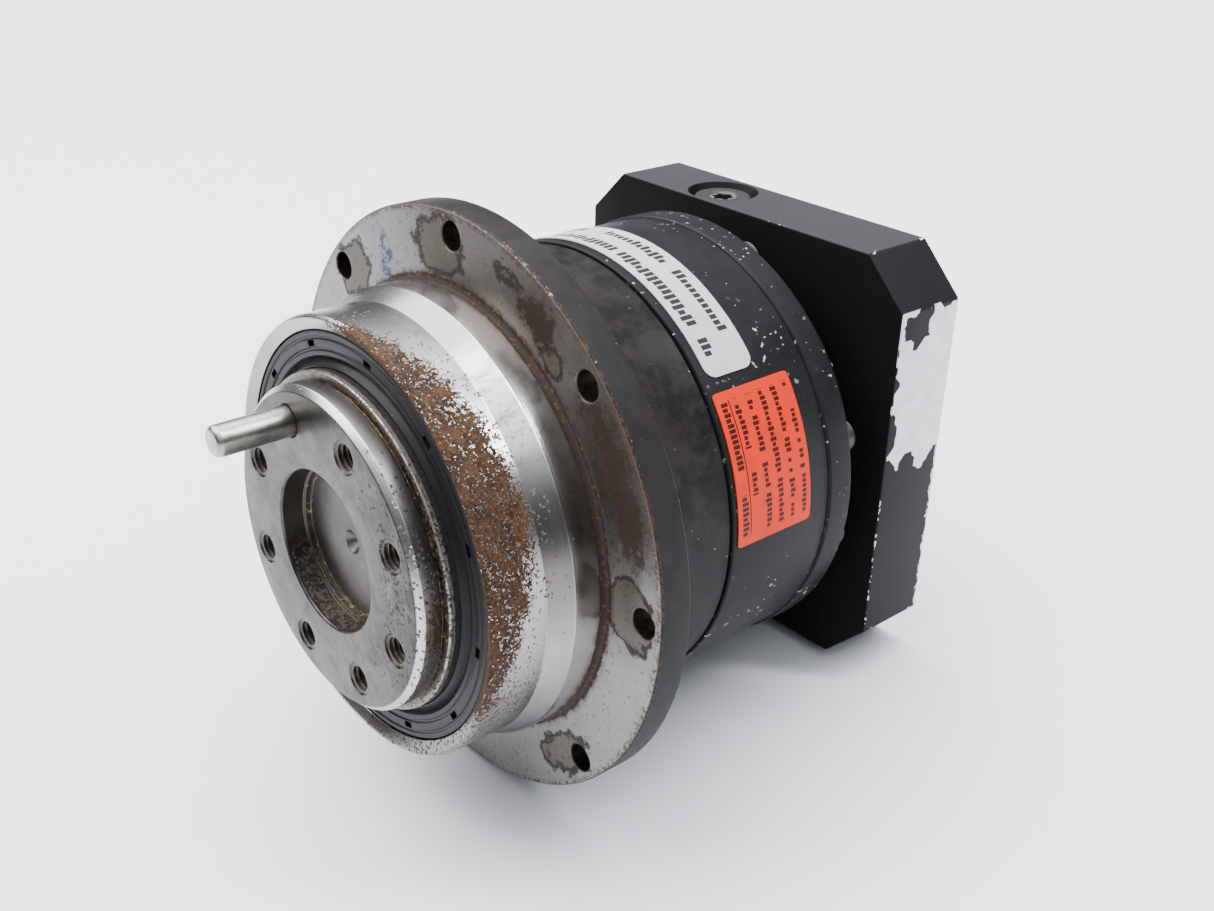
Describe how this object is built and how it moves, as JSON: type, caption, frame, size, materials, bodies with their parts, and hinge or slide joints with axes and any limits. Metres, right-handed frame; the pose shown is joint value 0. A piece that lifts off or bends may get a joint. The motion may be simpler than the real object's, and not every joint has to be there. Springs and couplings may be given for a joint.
{
  "type": "planetary gearbox",
  "caption": "Coaxial planetary gearbox with a flanged output face, a round mounting flange and a square motor adapter plate.",
  "frame": {"origin": "on the gear axis, at the middle of the whole length from the dowel pin's tip to the motor face", "axes": "+Y along the gear axis towards the motor face, +Z towards the access plug, the output face looks to -Y"},
  "size_m": [0.118, 0.136, 0.118],
  "materials": {
    "bright_steel": "turned bright steel with light rust stains",
    "black_steel": "blackened steel, satin, with rust on the bare nose",
    "ground_steel": "ground hardened steel",
    "bearing_steel": "polished bearing steel",
    "screw_steel": "black oxide screw steel",
    "black_aluminium": "black anodised aluminium with bare chips",
    "black_rubber": "matt black nitrile rubber",
    "white_label": "satin white plastic film",
    "orange_label": "satin orange plastic film"
  },
  "bodies": {
    "housing": {"output_housing": "black_steel", "output_seal": "black_rubber", "front_output_bearing_outer_ring": "bearing_steel", "rear_output_bearing_outer_ring": "bearing_steel", "ring_gear": "black_steel", "input_housing": "black_steel", "input_bearing_outer_ring": "bearing_steel", "input_seal": "black_rubber", "adapter_plate": "black_aluminium", "case_screw_1": "screw_steel", "case_screw_2": "screw_steel", "case_screw_3": "screw_steel", "case_screw_4": "screw_steel", "case_screw_5": "screw_steel", "case_screw_6": "screw_steel", "case_screw_7": "screw_steel", "case_screw_8": "screw_steel", "plate_screw_1": "screw_steel", "plate_screw_2": "screw_steel", "plate_screw_3": "screw_steel", "plate_screw_4": "screw_steel", "rating_label": "white_label", "notice_label": "orange_label"},
    "output": {"output_flange": "bright_steel", "dowel_pin": "ground_steel", "front_output_bearing_inner_ring": "bearing_steel", "rear_output_bearing_inner_ring": "bearing_steel", "shaft_nut": "ground_steel", "output_carrier": "ground_steel", "output_planet_pin_1": "bearing_steel", "output_planet_pin_2": "bearing_steel", "output_planet_pin_3": "bearing_steel"},
    "intermediate": {"output_sun": "ground_steel", "input_carrier": "ground_steel", "input_planet_pin_1": "bearing_steel", "input_planet_pin_2": "bearing_steel", "input_planet_pin_3": "bearing_steel"},
    "input": {"input_shaft": "ground_steel", "input_sun": "ground_steel", "input_bearing_inner_ring": "bearing_steel", "retaining_ring": "screw_steel"},
    "front_output_balls": {"front_output_bearing_balls": "bearing_steel"},
    "rear_output_balls": {"rear_output_bearing_balls": "bearing_steel"},
    "input_balls": {"input_bearing_balls": "bearing_steel"},
    "clamp_screw": {"clamp_screw": "screw_steel"},
    "access_plug": {"access_plug": "screw_steel"},
    "output_planet_1": {"output_planet_1": "ground_steel"},
    "output_needles_1": {"output_needle_cage_1": "bearing_steel"},
    "output_planet_2": {"output_planet_2": "ground_steel"},
    "output_needles_2": {"output_needle_cage_2": "bearing_steel"},
    "output_planet_3": {"output_planet_3": "ground_steel"},
    "output_needles_3": {"output_needle_cage_3": "bearing_steel"},
    "input_planet_1": {"input_planet_1": "ground_steel"},
    "input_needles_1": {"input_needle_cage_1": "bearing_steel"},
    "input_planet_2": {"input_planet_2": "ground_steel"},
    "input_needles_2": {"input_needle_cage_2": "bearing_steel"},
    "input_planet_3": {"input_planet_3": "ground_steel"},
    "input_needles_3": {"input_needle_cage_3": "bearing_steel"}
  },
  "joints": [
    {"name": "output_spin", "type": "hinge", "parent": "housing", "child": "output", "pos_m": [0, 0, 0], "axis": [0, 1, 0], "continuous": true},
    {"name": "intermediate_spin", "type": "hinge", "parent": "housing", "child": "intermediate", "pos_m": [0, 0, 0], "axis": [0, 1, 0], "continuous": true},
    {"name": "input_spin", "type": "hinge", "parent": "housing", "child": "input", "pos_m": [0, 0, 0], "axis": [0, 1, 0], "continuous": true},
    {"name": "front_output_balls_spin", "type": "hinge", "parent": "housing", "child": "front_output_balls", "pos_m": [0, 0, 0], "axis": [0, 1, 0], "continuous": true},
    {"name": "rear_output_balls_spin", "type": "hinge", "parent": "housing", "child": "rear_output_balls", "pos_m": [0, 0, 0], "axis": [0, 1, 0], "continuous": true},
    {"name": "input_balls_spin", "type": "hinge", "parent": "housing", "child": "input_balls", "pos_m": [0, 0, 0], "axis": [0, 1, 0], "continuous": true},
    {"name": "output_planet_1_spin", "type": "hinge", "parent": "output", "child": "output_planet_1", "pos_m": [0, 0, 0.0225], "axis": [0, 1, 0], "continuous": true},
    {"name": "output_needles_1_spin", "type": "hinge", "parent": "output", "child": "output_needles_1", "pos_m": [0, 0, 0.0225], "axis": [0, 1, 0], "continuous": true},
    {"name": "input_planet_1_spin", "type": "hinge", "parent": "intermediate", "child": "input_planet_1", "pos_m": [0, 0, 0.021], "axis": [0, 1, 0], "continuous": true},
    {"name": "input_needles_1_spin", "type": "hinge", "parent": "intermediate", "child": "input_needles_1", "pos_m": [0, 0, 0.021], "axis": [0, 1, 0], "continuous": true},
    {"name": "output_planet_2_spin", "type": "hinge", "parent": "output", "child": "output_planet_2", "pos_m": [0.01949, 0, -0.01125], "axis": [0, 1, 0], "continuous": true},
    {"name": "output_needles_2_spin", "type": "hinge", "parent": "output", "child": "output_needles_2", "pos_m": [0.01949, 0, -0.01125], "axis": [0, 1, 0], "continuous": true},
    {"name": "input_planet_2_spin", "type": "hinge", "parent": "intermediate", "child": "input_planet_2", "pos_m": [0.01819, 0, -0.0105], "axis": [0, 1, 0], "continuous": true},
    {"name": "input_needles_2_spin", "type": "hinge", "parent": "intermediate", "child": "input_needles_2", "pos_m": [0.01819, 0, -0.0105], "axis": [0, 1, 0], "continuous": true},
    {"name": "output_planet_3_spin", "type": "hinge", "parent": "output", "child": "output_planet_3", "pos_m": [-0.01949, 0, -0.01125], "axis": [0, 1, 0], "continuous": true},
    {"name": "output_needles_3_spin", "type": "hinge", "parent": "output", "child": "output_needles_3", "pos_m": [-0.01949, 0, -0.01125], "axis": [0, 1, 0], "continuous": true},
    {"name": "input_planet_3_spin", "type": "hinge", "parent": "intermediate", "child": "input_planet_3", "pos_m": [-0.01819, 0, -0.0105], "axis": [0, 1, 0], "continuous": true},
    {"name": "input_needles_3_spin", "type": "hinge", "parent": "intermediate", "child": "input_needles_3", "pos_m": [-0.01819, 0, -0.0105], "axis": [0, 1, 0], "continuous": true},
    {"name": "clamp_screw_turn", "type": "hinge", "parent": "input", "child": "clamp_screw", "pos_m": [-0.0122, 0.0586, 0], "axis": [0, 0, 1], "range_deg": [0, 720]},
    {"name": "access_plug_slide", "type": "slide", "parent": "housing", "child": "access_plug", "axis": [0, 0, 1], "range_m": [0, 0.012]}
  ],
  "couplings": [
    {"joint": "intermediate_spin", "follows": "output_spin", "ratio": 5},
    {"joint": "input_spin", "follows": "output_spin", "ratio": 35},
    {"joint": "front_output_balls_spin", "follows": "output_spin", "ratio": 0.4467},
    {"joint": "rear_output_balls_spin", "follows": "output_spin", "ratio": 0.4475},
    {"joint": "input_balls_spin", "follows": "output_spin", "ratio": 15.227},
    {"joint": "output_planet_1_spin", "follows": "output_spin", "ratio": -2.6667},
    {"joint": "output_needles_1_spin", "follows": "output_spin", "ratio": -1.641},
    {"joint": "input_planet_1_spin", "follows": "output_spin", "ratio": -12},
    {"joint": "input_needles_1_spin", "follows": "output_spin", "ratio": -7.3846},
    {"joint": "output_planet_2_spin", "follows": "output_spin", "ratio": -2.6667},
    {"joint": "output_needles_2_spin", "follows": "output_spin", "ratio": -1.641},
    {"joint": "input_planet_2_spin", "follows": "output_spin", "ratio": -12},
    {"joint": "input_needles_2_spin", "follows": "output_spin", "ratio": -7.3846},
    {"joint": "output_planet_3_spin", "follows": "output_spin", "ratio": -2.6667},
    {"joint": "output_needles_3_spin", "follows": "output_spin", "ratio": -1.641},
    {"joint": "input_planet_3_spin", "follows": "output_spin", "ratio": -12},
    {"joint": "input_needles_3_spin", "follows": "output_spin", "ratio": -7.3846}
  ]
}
